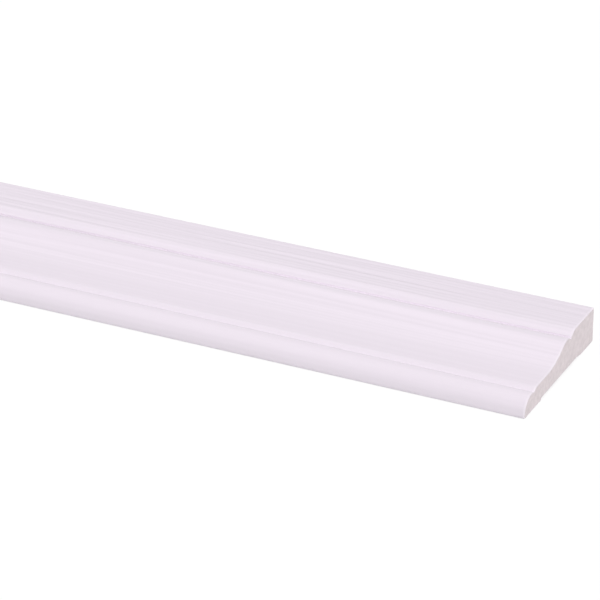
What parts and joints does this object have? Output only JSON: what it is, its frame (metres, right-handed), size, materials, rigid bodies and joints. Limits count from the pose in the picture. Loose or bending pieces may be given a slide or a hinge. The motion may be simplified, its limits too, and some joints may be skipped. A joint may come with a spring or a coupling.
{
  "type": "door casing",
  "caption": "Straight stick of door casing with square-cut ends: a flat band, rounded shoulder, quirk, ogee, tread and rounded nose on its face, and a shallow relief along its back.",
  "frame": {"origin": "under the middle of the stick, on the plane that its two feet rest on", "axes": "+X along the stick, +Y towards the thick edge that meets the wall, +Z out of the moulded face"},
  "size_m": [0.33, 0.0826, 0.0175],
  "materials": {
    "white_moulding": "satin white, faintly lined along the stick, with a matt sawn end"
  },
  "bodies": {
    "root": {"casing": "white_moulding"}
  },
  "joints": []
}
